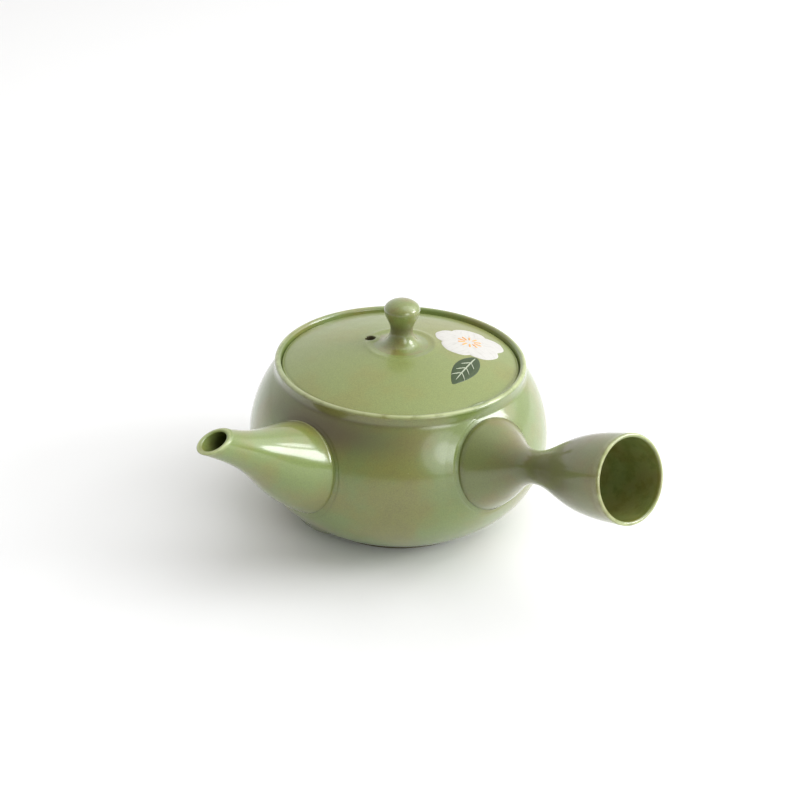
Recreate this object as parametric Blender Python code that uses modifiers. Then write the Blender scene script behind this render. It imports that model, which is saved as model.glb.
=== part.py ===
"""Side-handled ceramic teapot: a squat bowl with a luted spout and handle, a strainer, a lid and its knob.

The frame's origin is the centre of the flat base. +Z is up, the handle points along -Y, and the spout
is 80 degrees round from it, on the -X side. Lengths are in metres.
"""

import math

import bpy
from mathutils import Matrix, Vector

COLLECTION = "side_handled_teapot"
GAP = 0.0003  # clearance between neighbouring pieces

# Bowl: two elliptical arcs meet at the belly.
BODY_RADIUS = 0.0590
BELLY_HEIGHT = 0.0320
SHOULDER_RISE = 0.0505  # semi-axis of the arc above the belly
HIP_WIDTH = 0.0425  # semi-axes of the arc below the belly
HIP_DROP = 0.0345
WALL = 0.0032
FLOOR = 0.0045
FOOT_RADIUS = 0.0362
FOOT_HEIGHT = 0.0016
FOOT_CHAMFER = 0.0003

# Mouth: a beaded rim above a ledge that carries the lid.
NECK_HEIGHT = 0.0612
BEAD_RADIUS = 0.00125
BEAD_CENTRE = (0.04765, 0.06345)
BEAD_GROOVE = (0.04775, 0.0619)  # radius, height
LEDGE_HEIGHT = 0.0604
LEDGE_RADIUS = 0.0426
LEDGE_DEPTH = 0.0026
INNER_SHOULDER_HEIGHT = 0.0560

# Spout: turned about its own straight axis, then cut to the bowl and across the tip.
SPOUT_AZIMUTH = -80.3  # degrees from -Y, towards -X
SPOUT_RISE = 32.2  # degrees above the horizontal
SPOUT_START = (0.0582, 0.0416)  # distance from the bowl's axis, height
SPOUT_TIP_RADIUS = 0.0050
SPOUT_SWELL = 0.0134
SPOUT_WAIST = 0.0153  # distance along the axis where half the swell is left
SPOUT_TAPER = 0.0090
SPOUT_INNER_END = -0.022
SPOUT_OUTER_END = 0.056
SPOUT_ROOT_WALL = 0.0026
SPOUT_TIP_WALL = 0.0019
SPOUT_MOUTH = (0.0983, 0.0668)  # distance from the bowl's axis, height
SPOUT_MOUTH_TILT = 69.0  # degrees that the mouth's normal stands above the horizontal
SPOUT_STATIONS = 16
OUTLET_RADIUS = 0.0125

# Handle: turned about its own straight axis, a bell at the root and a flare at the open end.
HANDLE_RISE = 19.9
HANDLE_AXIS_HEIGHT = 0.0235  # where the axis crosses the bowl's axis
HANDLE_LENGTH = 0.1301
HANDLE_START = 0.046
HANDLE_CORE = 0.0020
HANDLE_BELL = (0.0198, 0.0663, 0.0072)  # swell, place along the axis, softness
HANDLE_FLARE = (0.0140, 0.0960, 0.0082)
HANDLE_WALL = 0.0026
HANDLE_RIM_WALL = 0.0015
HANDLE_RIM_LENGTH = 0.030
HANDLE_STATIONS = 18

# Strainer: a perforated dome that bulges into the bowl, on the spout's axis.
STRAINER_RADIUS = 0.0146
STRAINER_WALL = 0.0016
STRAINER_DEPTH = 0.0085
STRAINER_SKIRT = 0.006
STRAINER_BASE = -0.0045  # where the dome starts, along the spout's axis
DOME_POINTS = 8
HOLE_RADIUS = 0.0008
HOLE_PITCH = 0.0029
HOLE_RINGS = 3
HOLE_SIDES = 6

# Lid
LID_RADIUS = 0.04605
LID_EDGE_TOP = 0.0628
LID_CROWN = 0.0712
LID_WALL = 0.0030
LID_EDGE_ROUND = 0.0005
LID_EDGE_START = 0.0445  # radius where the top turns down into the edge
LID_STATIONS = 4
FLANGE_RADIUS = 0.0419
FLANGE_WALL = 0.0026
FLANGE_BOTTOM = 0.0548
COLLAR_RADIUS = 0.0135
COLLAR_RISE = 0.0009
COLLAR_SOFTNESS = 0.0009
VENT_RADIUS = 0.00215
VENT_DISTANCE = 0.0127
VENT_AZIMUTH = -148.6
VENT_SIDES = 16

# Knob
KNOB_TOP = 0.0891
KNOB_HEAD_RADIUS = 0.00695
KNOB_HEAD_HEIGHT = 0.0850
KNOB_NECK_RADIUS = 0.0043
KNOB_NECK_HEIGHT = 0.0790
KNOB_FOOT_RADIUS = 0.0082
KNOB_CHEEK_DROP = 0.0048  # height that the head takes to narrow to its neck
KNOB_CHEEK_POINTS = 4
KNOB_FLARE_END = 265.0  # degrees at which the neck's flare stops, short of flat on the lid

ROUND_STEPS = 48
SMALL_STEPS = 28


def spread(start, end, count):
    """Evenly spaced values from start to end, both included."""
    return [start + (end - start) * i / (count - 1) for i in range(count)]


def arc(centre, semi, start, end, points):
    """Points of an ellipse's arc, as (radius, height); angles in degrees turn from outwards to up."""
    turns = [math.radians(angle) for angle in spread(start, end, points)]
    return [(centre[0] + semi[0] * math.cos(a), centre[1] + semi[1] * math.sin(a)) for a in turns]


def rise_angle(height, semi):
    """Angle in degrees at which an arc from the belly reaches a height above or below it."""
    return math.degrees(math.asin((height - BELLY_HEIGHT) / semi))


def bowl_arcs(inset, top, bottom, points=7):
    """The bowl's wall from top to bottom, moved inwards by inset."""
    shoulder = (BODY_RADIUS - inset, SHOULDER_RISE - inset)
    hip = (HIP_WIDTH - inset, HIP_DROP - inset)
    upper = arc((0, BELLY_HEIGHT), shoulder, rise_angle(top, shoulder[1]), 0, points)
    hip_centre = (BODY_RADIUS - HIP_WIDTH, BELLY_HEIGHT)
    lower = arc(hip_centre, hip, 0, rise_angle(bottom, hip[1]), points)
    return upper + lower[1:]


def outer_profile():
    """Rim bead, neck, shoulder, belly, hip and foot, from the bead's inner side down to the axis."""
    bead = arc(BEAD_CENTRE, (BEAD_RADIUS, BEAD_RADIUS), 180, -50, 8)
    foot = [
        (FOOT_RADIUS, FOOT_HEIGHT),
        (FOOT_RADIUS, FOOT_CHAMFER),
        (FOOT_RADIUS - FOOT_CHAMFER, 0),
        (0, 0),
    ]
    return bead + [BEAD_GROOVE] + bowl_arcs(0, NECK_HEIGHT, FOOT_HEIGHT) + foot


def inner_profile():
    """Floor, inner wall and lid ledge, from the axis up to the foot of the rim's inner side."""
    wall = bowl_arcs(WALL, INNER_SHOULDER_HEIGHT, FLOOR)
    ledge = [
        (LEDGE_RADIUS, LEDGE_HEIGHT - LEDGE_DEPTH),
        (LEDGE_RADIUS, LEDGE_HEIGHT),
        (BEAD_CENTRE[0] - BEAD_RADIUS, LEDGE_HEIGHT),
    ]
    return [(0, FLOOR)] + wall[::-1] + ledge


def lid_surface(radius):
    """Height of the lid's top at a distance from its axis."""
    span = LID_CROWN - LID_EDGE_TOP
    dome = LID_CROWN - span * (radius / LID_RADIUS) ** 2
    return dome + COLLAR_RISE / (1 + math.exp((radius - COLLAR_RADIUS) / COLLAR_SOFTNESS))


def spout_radius(along):
    """Outer radius of the spout at a distance along its axis."""
    return SPOUT_TIP_RADIUS + SPOUT_SWELL / (1 + math.exp((along - SPOUT_WAIST) / SPOUT_TAPER))


def handle_radius(along):
    """Outer radius of the handle at a distance along its axis, from the bowl's axis."""
    bell, bell_place, bell_softness = HANDLE_BELL
    flare, flare_place, flare_softness = HANDLE_FLARE
    root = bell / (1 + math.exp((along - bell_place) / bell_softness))
    end = flare / (1 + math.exp((flare_place - along) / flare_softness))
    return HANDLE_CORE + root + end


def outward(azimuth, rise):
    """Unit vector at an azimuth from -Y and an angle above the horizontal, both in degrees."""
    turn, lift = math.radians(azimuth), math.radians(rise)
    return Vector((math.sin(turn) * math.cos(lift), -math.cos(turn) * math.cos(lift), math.sin(lift)))


def place_on(azimuth, distance, height):
    """Point at a distance from the bowl's axis along an azimuth, and a height."""
    return outward(azimuth, 0) * distance + Vector((0, 0, height))


def material(name, colour, roughness):
    """Plain clay material."""
    made = bpy.data.materials.new(name)
    made.use_nodes = True
    shader = made.node_tree.nodes["Principled BSDF"]
    shader.inputs["Base Color"].default_value = (*colour, 1)
    shader.inputs["Roughness"].default_value = roughness
    shader.inputs["Metallic"].default_value = 0.0
    made.diffuse_color = (*colour, 1)
    return made


def turned(name, collection, profile, steps, closed=False, at=Vector(), towards=Vector((0, 0, 1))):
    """Object that sweeps a (radius, height) profile round its own Z axis, which points towards."""
    count = len(profile)
    edges = [(i, i + 1) for i in range(count - 1)]
    if closed:
        edges.append((count - 1, 0))
    mesh = bpy.data.meshes.new(name)
    mesh.from_pydata([(radius, 0, height) for radius, height in profile], edges, [])
    made = bpy.data.objects.new(name, mesh)
    collection.objects.link(made)
    made.matrix_world = Matrix.Translation(at) @ towards.to_track_quat("Z", "Y").to_matrix().to_4x4()
    screw = made.modifiers.new("Turn", "SCREW")
    screw.axis = "Z"
    screw.angle = math.tau
    screw.steps = steps
    screw.render_steps = steps
    screw.use_merge_vertices = True
    screw.merge_threshold = 0.00001
    screw.use_smooth_shade = True
    return made


def boolean(target, tool, operation="DIFFERENCE"):
    """Live cut, join or overlap of target with tool."""
    modifier = target.modifiers.new(tool.name, "BOOLEAN")
    modifier.operation = operation
    modifier.solver = "EXACT"
    modifier.object = tool


def hide_tool(tool):
    """Marks an object as a cutter, which isn't part of the teapot."""
    tool.hide_render = True
    tool.display_type = "WIRE"
    return tool


def cutter_rod(name, cutters, radius, start, end, steps, at, towards):
    """Round cutter along an axis, from start to end."""
    profile = [(0, end), (radius, end), (radius, start), (0, start)]
    return hide_tool(turned(name, cutters, profile, steps, at=at, towards=towards))


def bowl_envelope(cutters):
    """Solid bowl grown by the gap, which trims the roots of the spout and the handle."""
    walls = bowl_arcs(-GAP, NECK_HEIGHT, 0)
    profile = [(0, NECK_HEIGHT), *walls, (0, walls[-1][1])]
    return hide_tool(turned("bowl_envelope", cutters, profile, ROUND_STEPS))


def bowl_hollow(cutters):
    """The bowl's inside, shrunk by the gap, which trims the strainer's skirt."""
    walls = bowl_arcs(WALL + GAP, INNER_SHOULDER_HEIGHT, FLOOR + GAP)
    profile = [(0, INNER_SHOULDER_HEIGHT), *walls, (0, FLOOR + GAP)]
    return hide_tool(turned("bowl_hollow", cutters, profile, ROUND_STEPS))


def make_pot_body(parts, cutters):
    """Bowl with its rim, lid ledge, foot and outlet hole."""
    profile = inner_profile() + outer_profile()
    body = turned("pot_body", parts, profile, ROUND_STEPS)
    outlet = cutter_rod(
        "outlet_hole",
        cutters,
        OUTLET_RADIUS,
        SPOUT_INNER_END,
        SPOUT_WAIST,
        SMALL_STEPS,
        place_on(SPOUT_AZIMUTH, *SPOUT_START),
        outward(SPOUT_AZIMUTH, SPOUT_RISE),
    )
    boolean(body, outlet)
    return body


def make_spout(parts, cutters, envelope):
    """Tapered tube, trimmed to the bowl at its root and cut at a slant across its tip."""
    stations = spread(SPOUT_INNER_END, SPOUT_OUTER_END, SPOUT_STATIONS)
    outer = [(spout_radius(s), s) for s in reversed(stations)]
    inner = []
    for s in stations:
        share = (s - SPOUT_INNER_END) / (SPOUT_OUTER_END - SPOUT_INNER_END)
        wall = SPOUT_ROOT_WALL + (SPOUT_TIP_WALL - SPOUT_ROOT_WALL) * share
        inner.append((spout_radius(s) - wall, s))
    at = place_on(SPOUT_AZIMUTH, *SPOUT_START)
    towards = outward(SPOUT_AZIMUTH, SPOUT_RISE)
    spout = turned("spout", parts, outer + inner, SMALL_STEPS, closed=True, at=at, towards=towards)
    slant = cutter_rod(
        "spout_slant",
        cutters,
        SPOUT_OUTER_END / 2,
        0,
        SPOUT_OUTER_END,
        SMALL_STEPS,
        place_on(SPOUT_AZIMUTH, *SPOUT_MOUTH),
        outward(SPOUT_AZIMUTH, SPOUT_MOUTH_TILT),
    )
    boolean(spout, envelope)
    boolean(spout, slant)
    return spout


def make_handle(parts, envelope):
    """Hollow hourglass tube, trimmed to the bowl at its root and open at its outer end."""
    stations = spread(HANDLE_START, HANDLE_LENGTH, HANDLE_STATIONS)
    rim = HANDLE_RIM_WALL / 2
    rim_radius = handle_radius(HANDLE_LENGTH)
    lip = arc((rim_radius - rim, HANDLE_LENGTH - rim), (rim, rim), 135, 45, 3)
    outer = [(handle_radius(s), s) for s in reversed(stations[:-1])]
    inner = []
    for s in stations[:-1]:
        share = min(1, (HANDLE_LENGTH - s) / HANDLE_RIM_LENGTH)
        wall = HANDLE_RIM_WALL + (HANDLE_WALL - HANDLE_RIM_WALL) * share
        inner.append((handle_radius(s) - wall, s))
    profile = lip + outer + inner
    axis = outward(0, HANDLE_RISE)
    handle = turned(
        "handle",
        parts,
        profile,
        SMALL_STEPS,
        closed=True,
        at=Vector((0, 0, HANDLE_AXIS_HEIGHT)),
        towards=axis,
    )
    boolean(handle, envelope)
    return handle


def strainer_holes(cutters, at, towards):
    """Rings of small rods along the strainer's axis, which pierce its dome."""
    across = towards.orthogonal().normalized()
    other = towards.cross(across)
    spots = [Vector()]
    for ring in range(1, HOLE_RINGS + 1):
        count = 6 * ring
        for i in range(count):
            turn = math.tau * i / count
            reach = ring * HOLE_PITCH
            spots.append(across * math.cos(turn) * reach + other * math.sin(turn) * reach)
    far = STRAINER_DEPTH + STRAINER_WALL
    return [
        cutter_rod(f"strainer_hole_{i}", cutters, HOLE_RADIUS, -far, 0, HOLE_SIDES, at + spot, towards)
        for i, spot in enumerate(spots)
    ]


def make_strainer(parts, cutters, hollow):
    """Perforated dome with a skirt that follows the inside of the bowl's wall."""
    towards = outward(SPOUT_AZIMUTH, SPOUT_RISE)
    at = place_on(SPOUT_AZIMUTH, *SPOUT_START) + towards * STRAINER_BASE
    outer_dome = arc((0, 0), (STRAINER_RADIUS, STRAINER_DEPTH), 0, -90, DOME_POINTS)
    inner_semi = (STRAINER_RADIUS - STRAINER_WALL, STRAINER_DEPTH - STRAINER_WALL)
    inner_dome = arc((0, 0), inner_semi, -90, 0, DOME_POINTS)
    skirt = [(inner_semi[0], STRAINER_SKIRT), (STRAINER_RADIUS, STRAINER_SKIRT)]
    # The dome opens outwards, so its profile starts on the axis inside and ends on it outside.
    profile = inner_dome + skirt + outer_dome
    strainer = turned("strainer", parts, profile, SMALL_STEPS, at=at, towards=towards)
    boolean(strainer, hollow, "INTERSECT")
    for rod in strainer_holes(cutters, at, towards):
        boolean(strainer, rod)
    return strainer


def make_lid(parts, cutters):
    """Domed disc with a raised collar, a vent and a locating flange below; its origin is on its axis."""
    seat = LEDGE_HEIGHT + GAP
    collar = spread(COLLAR_RADIUS - 4 * COLLAR_SOFTNESS, COLLAR_RADIUS + 4 * COLLAR_SOFTNESS, 5)
    slope = spread(collar[-1], LID_EDGE_START, LID_STATIONS + 1)
    top = [(r, lid_surface(r) - seat) for r in (0, *collar, *slope[1:])]
    edge_centre = (LID_RADIUS - LID_EDGE_ROUND, LID_EDGE_TOP - 2 * LID_EDGE_ROUND - seat)
    edge = arc(edge_centre, (LID_EDGE_ROUND, LID_EDGE_ROUND), 60, 0, 3)
    under = [(LID_RADIUS, 0), (FLANGE_RADIUS, 0), (FLANGE_RADIUS, FLANGE_BOTTOM - seat)]
    flange_inner = FLANGE_RADIUS - FLANGE_WALL
    inside = [(flange_inner, FLANGE_BOTTOM - seat)]
    ceiling = spread(flange_inner, collar[-1], LID_STATIONS)
    inside += [(r, lid_surface(r) - LID_WALL - seat) for r in (*ceiling, 0)]
    lid = turned("lid", parts, top + edge + under + inside, ROUND_STEPS, at=Vector((0, 0, seat)))
    vent = cutter_rod(
        "lid_vent",
        cutters,
        VENT_RADIUS,
        FLANGE_BOTTOM,
        KNOB_TOP,
        VENT_SIDES,
        place_on(VENT_AZIMUTH, VENT_DISTANCE, 0),
        Vector((0, 0, 1)),
    )
    boolean(lid, vent)
    return lid


def make_lid_knob(parts, lid):
    """Round knob on a waisted neck that flares on to the lid; it rides on the lid."""
    head_rise = KNOB_TOP - KNOB_HEAD_HEIGHT
    head = arc((0, KNOB_HEAD_HEIGHT), (KNOB_HEAD_RADIUS, head_rise), 90, 0, 6)
    cheek = []
    for share in spread(0, 1, KNOB_CHEEK_POINTS + 1)[1:]:
        ease = share * share * (3 - 2 * share)
        radius = KNOB_HEAD_RADIUS + (KNOB_NECK_RADIUS - KNOB_HEAD_RADIUS) * ease
        cheek.append((radius, KNOB_HEAD_HEIGHT - KNOB_CHEEK_DROP * share))
    foot_height = lid_surface(KNOB_FOOT_RADIUS) + GAP
    flare_rise = KNOB_NECK_HEIGHT - foot_height
    flare_centre = (KNOB_FOOT_RADIUS, KNOB_NECK_HEIGHT)
    flare = arc(flare_centre, (KNOB_FOOT_RADIUS - KNOB_NECK_RADIUS, flare_rise), 180, KNOB_FLARE_END, 5)
    underside = [(r, lid_surface(r) + GAP) for r in spread(KNOB_FOOT_RADIUS, 0, 3)]
    profile = [(r, z - KNOB_NECK_HEIGHT) for r, z in head + cheek + flare + underside]
    knob = turned("lid_knob", parts, profile, SMALL_STEPS, at=Vector((0, 0, KNOB_NECK_HEIGHT)))
    knob.parent = lid
    knob.matrix_parent_inverse = lid.matrix_world.inverted()
    return knob


def new_collection(name):
    """Collection linked to the scene."""
    made = bpy.data.collections.new(name)
    bpy.context.scene.collection.children.link(made)
    return made


def main():
    """Builds the teapot in a scene of its own."""
    for old in list(bpy.data.objects):
        bpy.data.objects.remove(old)
    parts = new_collection(COLLECTION)
    cutters = new_collection(COLLECTION + "_cutters")
    envelope = bowl_envelope(cutters)
    hollow = bowl_hollow(cutters)
    lid = make_lid(parts, cutters)
    pieces = {
        make_pot_body(parts, cutters): ((0.212, 0.266, 0.096), 0.32),
        make_spout(parts, cutters, envelope): ((0.212, 0.266, 0.096), 0.32),
        make_handle(parts, envelope): ((0.178, 0.200, 0.080), 0.36),
        make_strainer(parts, cutters, hollow): ((0.150, 0.170, 0.075), 0.60),
        lid: ((0.290, 0.360, 0.150), 0.38),
        make_lid_knob(parts, lid): ((0.230, 0.280, 0.110), 0.32),
    }
    for piece, (colour, roughness) in pieces.items():
        piece.data.materials.append(material(f"{piece.name}_clay", colour, roughness))


main()
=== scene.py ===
"""Looks of a side-handled green clay teapot, built round its fixed frame.

The frame's origin is the centre of the foot, +Z is up and the handle points along -Y. Lengths are in
metres. Each sub-assembly is a class that turns, trims and dresses its own meshes.
"""

import logging
import math
from dataclasses import dataclass, field
from enum import Enum
from typing import Callable, Iterable, Sequence

import bmesh
import bpy
from mathutils import Matrix, Vector


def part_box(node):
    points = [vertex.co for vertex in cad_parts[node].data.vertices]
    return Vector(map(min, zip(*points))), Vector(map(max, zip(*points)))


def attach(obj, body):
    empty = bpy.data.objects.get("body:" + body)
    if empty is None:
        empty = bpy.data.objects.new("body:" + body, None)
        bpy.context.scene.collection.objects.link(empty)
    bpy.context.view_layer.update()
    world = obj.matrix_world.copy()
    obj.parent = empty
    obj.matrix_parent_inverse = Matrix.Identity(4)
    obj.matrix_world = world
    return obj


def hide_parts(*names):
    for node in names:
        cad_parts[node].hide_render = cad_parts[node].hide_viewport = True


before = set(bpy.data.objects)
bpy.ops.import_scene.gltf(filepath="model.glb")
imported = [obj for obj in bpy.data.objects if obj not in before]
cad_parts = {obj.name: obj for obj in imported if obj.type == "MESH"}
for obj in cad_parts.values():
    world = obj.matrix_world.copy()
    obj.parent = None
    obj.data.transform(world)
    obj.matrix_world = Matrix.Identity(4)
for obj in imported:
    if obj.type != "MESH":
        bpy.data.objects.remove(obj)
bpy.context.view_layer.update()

log = logging.getLogger("teapot")

Colour = tuple[float, float, float]
Point = tuple[float, float]
Span = tuple[float, float]
Stops = tuple[tuple[float, Colour], ...]

MIDDLE = 0.5  # average of a noise
STROKE_MAP = "stroke"  # UV map that runs along and across a brush stroke
MERGE_DISTANCE = 1e-7
SKIN = 1e-5  # less than this below a surface still counts as on it
UP = Vector((0, 0, 1))


class Body(Enum):
    """Moving bodies that a piece can ride on."""

    POT = "pot"
    LID = "lid"


class Slot(Enum):
    """Material slots of the record."""

    BODY = "body_clay"
    LID = "lid_clay"
    STRAINER = "strainer_clay"


# ---------------------------------------------------------------- small maths


def spread(start: float, end: float, count: int) -> list[float]:
    """Evenly spaced values from start to end, both included."""
    return [start + (end - start) * i / (count - 1) for i in range(count)]


def smooth(value: float) -> float:
    """Eases a value from 0 to 1 with flat ends, and clamps it outside."""
    t = min(1.0, max(0.0, value))
    return t * t * (3 - 2 * t)


def bump(value: float, centre: float, width: float) -> float:
    """Bell curve of height 1 about a centre."""
    return math.exp(-(((value - centre) / width) ** 2))


def arc(centre: Point, semi: Point, start: float, end: float, count: int) -> list[Point]:
    """Points of an ellipse's arc.

    Args:
        centre: Radius and height of the ellipse's centre.
        semi: Its two semi-axes.
        start: First angle in degrees, from outwards to up.
        end: Last angle in degrees.
        count: Number of points.

    Returns:
        The points, as (radius, height).
    """
    turns = [math.radians(angle) for angle in spread(start, end, count)]
    return [(centre[0] + semi[0] * math.cos(a), centre[1] + semi[1] * math.sin(a)) for a in turns]


def cubic(a: float, b: float, c: float, d: float, t: float) -> float:
    """Value at a share t of the way from b to c, on a smooth curve that comes from a and goes on to d."""
    straight = 2 * b + (c - a) * t
    return 0.5 * (straight + (2 * a - 5 * b + 4 * c - d) * t**2 + (3 * b - a - 3 * c + d) * t**3)


def flow(points: Sequence[Point], per_span: int = 6) -> list[Point]:
    """Smooth curve through a few points.

    Args:
        points: The points that it passes, as (radius, height).
        per_span: Steps from each point to the next.

    Returns:
        A denser list, which starts and ends on the first and last point.
    """
    padded = [points[0], *points, points[-1]]
    curve = []
    for corners in zip(padded, padded[1:], padded[2:], padded[3:]):
        for t in spread(0, 1, per_span + 1)[:-1]:
            curve.append(tuple(cubic(*values, t) for values in zip(*corners)))
    return curve + [points[-1]]


def outward(azimuth: float, rise: float) -> Vector:
    """Unit vector at an azimuth from -Y and an angle above the horizontal, both in degrees."""
    turn, lift = math.radians(azimuth), math.radians(rise)
    return Vector((math.sin(turn) * math.cos(lift), -math.cos(turn) * math.cos(lift), math.sin(lift)))


def solve(gap: Callable[[float], float], low: float, high: float, rounds: int = 16) -> float:
    """Finds where a rising function passes zero.

    Args:
        gap: The function.
        low: A place before the crossing.
        high: A place after it.
        rounds: Halvings of the interval.

    Returns:
        The place, to within the interval over two to the power of the rounds.
    """
    for _ in range(rounds):
        middle = (low + high) / 2
        if gap(middle) > 0:
            high = middle
        else:
            low = middle
    return (low + high) / 2


# ---------------------------------------------------------------- shader maths


class Link:
    """A node's output socket, with arithmetic that adds Math nodes."""

    def __init__(self, nodes: "NodeBook", socket: bpy.types.NodeSocket) -> None:
        """Wraps an output socket of a node in the book."""
        self.nodes = nodes
        self.socket = socket

    def maths(self, operation: str, first: "Term", second: "Term") -> "Link":
        """Math node of two terms."""
        return self.nodes.add("ShaderNodeMath", {"operation": operation}, {0: first, 1: second})

    def __add__(self, other: "Term") -> "Link":
        """Sum."""
        return self.maths("ADD", self, other)

    def __sub__(self, other: "Term") -> "Link":
        """Difference."""
        return self.maths("SUBTRACT", self, other)

    def __rsub__(self, other: "Term") -> "Link":
        """Difference from a number."""
        return self.maths("SUBTRACT", other, self)

    def __mul__(self, other: "Term") -> "Link":
        """Product."""
        return self.maths("MULTIPLY", self, other)

    __radd__ = __add__
    __rmul__ = __mul__

    def between(self, low: float, high: float) -> "Link":
        """Smooth mask that rises from 0 at low to 1 at high, or falls if high is below low."""
        return self.nodes.add(
            "ShaderNodeMapRange",
            {"interpolation_type": "SMOOTHSTEP", "clamp": True},
            {"Value": self, "From Min": low, "From Max": high},
        )


Term = Link | float


class NodeBook:
    """Node tree of one material, written through one method."""

    def __init__(self, name: str) -> None:
        """Makes a material with its output and a Principled shader.

        Args:
            name: The material's name.
        """
        self.material = bpy.data.materials.new(name)
        self.material.use_nodes = True
        self.tree = self.material.node_tree
        self.shader = self.tree.nodes["Principled BSDF"]

    def add(
        self, kind: str, settings: dict | None = None, inputs: dict | None = None, out: int | str = 0
    ) -> Link:
        """Adds a node.

        Args:
            kind: The node's type.
            settings: Properties to set first, with a ramp's stops under "stops".
            inputs: Values or links by socket name or number.
            out: Name or number of the output wanted.

        Returns:
            The output.
        """
        node = self.tree.nodes.new(kind)
        for key, value in (settings or {}).items():
            if key == "stops":
                self.fill_ramp(node.color_ramp, value)
            else:
                setattr(node, key, value)
        for key, value in (inputs or {}).items():
            self.feed(node.inputs[key], value)
        return Link(self, node.outputs[out])

    def feed(self, socket: bpy.types.NodeSocket, value: "Link | float | Sequence[float]") -> None:
        """Links or sets one input socket.

        Args:
            socket: The input.
            value: A link, a number, a vector, or a colour without its alpha.
        """
        if isinstance(value, Link):
            self.tree.links.new(value.socket, socket)
        elif isinstance(value, tuple) and len(value) == 3 and socket.type == "RGBA":
            socket.default_value = (*value, 1.0)
        else:
            socket.default_value = value

    def fill_ramp(self, ramp: bpy.types.ColorRamp, stops: Sequence[tuple[float, Colour]]) -> None:
        """Sets a ramp's stops.

        Args:
            ramp: The ramp.
            stops: Place and colour of each stop.
        """
        while len(ramp.elements) < len(stops):
            ramp.elements.new(1.0)
        for element, (place, colour) in zip(ramp.elements, stops):
            element.position = place
            element.color = (*colour, 1.0)

    def blend(self, share: Term, first: "Link | Colour", second: "Link | Colour", how: str = "MIX") -> Link:
        """Mixes two colours.

        Args:
            share: How much of the second, from 0 to 1.
            first: The colour below.
            second: The colour above.
            how: The blend type.

        Returns:
            The mixed colour.
        """
        node = self.tree.nodes.new("ShaderNodeMix")
        node.data_type = "RGBA"
        node.blend_type = how
        by_name = {s.identifier: s for s in node.inputs}
        self.feed(by_name["Factor_Float"], share)
        self.feed(by_name["A_Color"], first)
        self.feed(by_name["B_Color"], second)
        return Link(self, next(s for s in node.outputs if s.identifier == "Result_Color"))

    def place(self) -> Link:
        """Object coordinates."""
        return self.add("ShaderNodeTexCoord", out="Object")

    def painted(self, name: str) -> Link:
        """Value painted on the mesh under a name."""
        return self.add("ShaderNodeAttribute", {"attribute_name": name}, out="Fac")

    def noise(self, size: float, detail: float = 3.0, rough: float = 0.5, at: Link | None = None) -> Link:
        """Noise from about 0 to 1.

        Args:
            size: Rough size of its patches.
            detail: Octaves.
            rough: Strength of the finer octaves.
            at: Coordinates, or the object's own when there are none.

        Returns:
            The noise.
        """
        where = at or self.place()
        inputs = {"Vector": where, "Scale": 1 / size, "Detail": detail, "Roughness": rough}
        return self.add("ShaderNodeTexNoise", {"noise_dimensions": "3D"}, inputs, out="Fac")

    def specks(self, spacing: float, radius: float, sharpness: float = 0.4) -> Link:
        """Mask of scattered round specks.

        Args:
            spacing: Rough distance between specks.
            radius: Their radius.
            sharpness: Share of the radius that is fully inside.

        Returns:
            1 inside a speck and 0 outside.
        """
        inputs = {"Vector": self.place(), "Scale": 1 / spacing, "Randomness": 1.0}
        distance = self.add("ShaderNodeTexVoronoi", {"feature": "F1"}, inputs, out="Distance")
        edge = radius / spacing
        return distance.between(edge, edge * sharpness)

    def surface(self, **inputs: "Link | float | Colour") -> None:
        """Feeds the Principled shader's sockets, with underscores for spaces."""
        for name, value in inputs.items():
            self.feed(self.shader.inputs[name.replace("_", " ")], value)


# ---------------------------------------------------------------- finishes


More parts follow.
